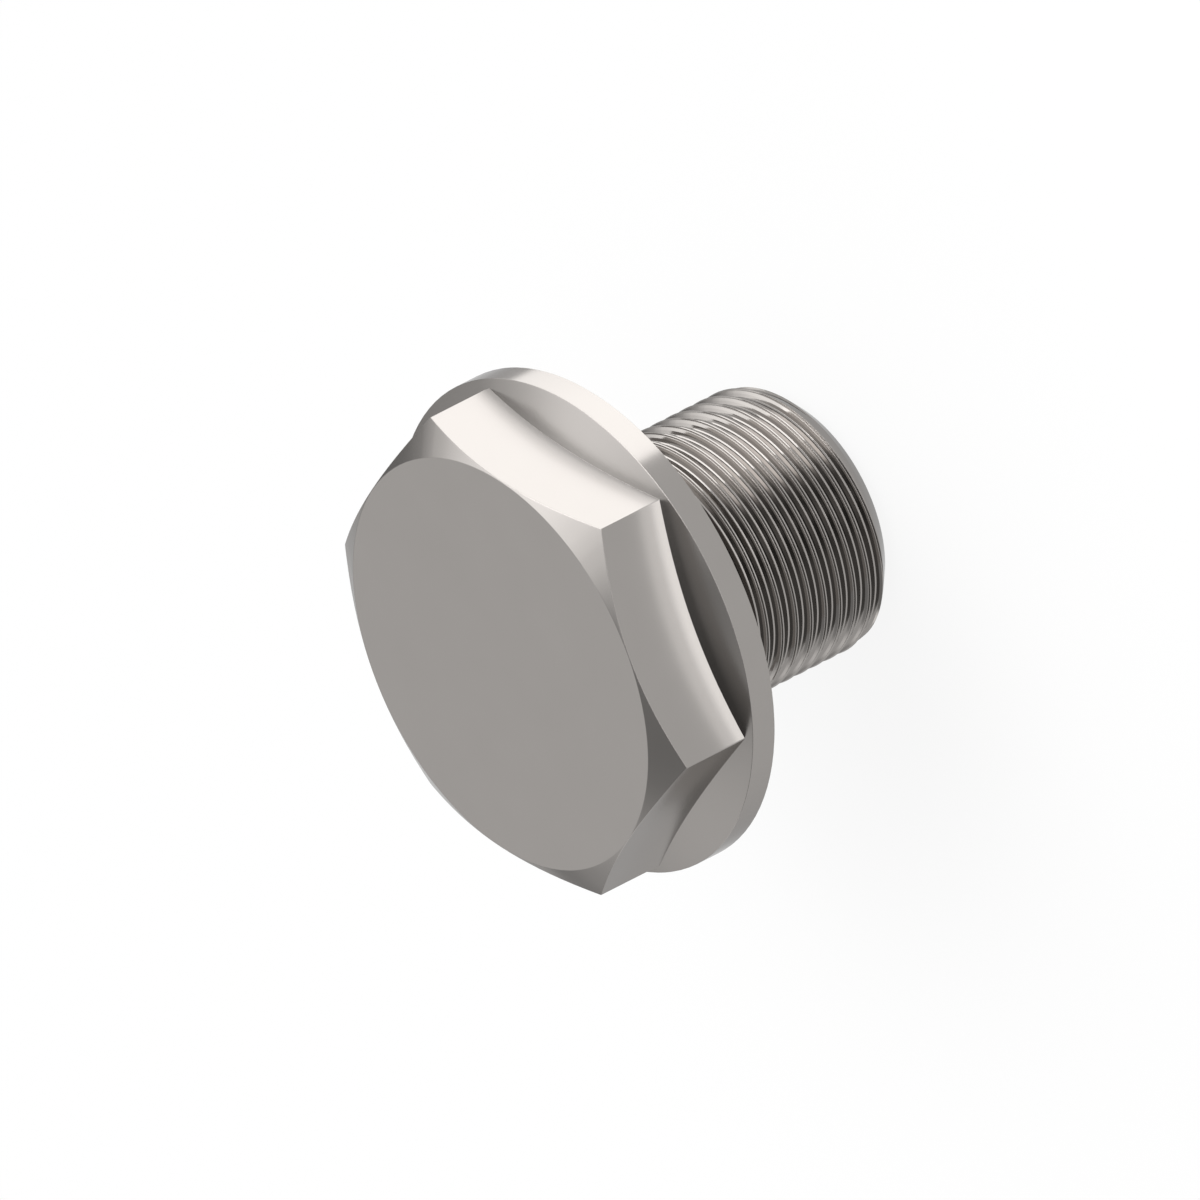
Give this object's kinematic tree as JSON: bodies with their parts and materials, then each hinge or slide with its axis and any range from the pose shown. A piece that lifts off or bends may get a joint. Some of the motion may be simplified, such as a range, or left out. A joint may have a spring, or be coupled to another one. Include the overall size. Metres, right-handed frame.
{
  "type": "hex drain plug",
  "caption": "Hexagon head drain plug with a round sealing flange and a straight threaded shank; closes a drain or filler port.",
  "frame": {"origin": "on the plug's axis, in the plane of the thread end that it stands on", "axes": "+Z along the plug's axis, from the thread end to the head's top face; +X towards a corner of the hexagon; +Y out of one of its flats"},
  "size_m": [0.0588, 0.0588, 0.0444],
  "materials": {
    "satin_steel": "fine turned and milled steel, satin, bare"
  },
  "bodies": {
    "root": {"drain_plug": "satin_steel"}
  },
  "joints": []
}
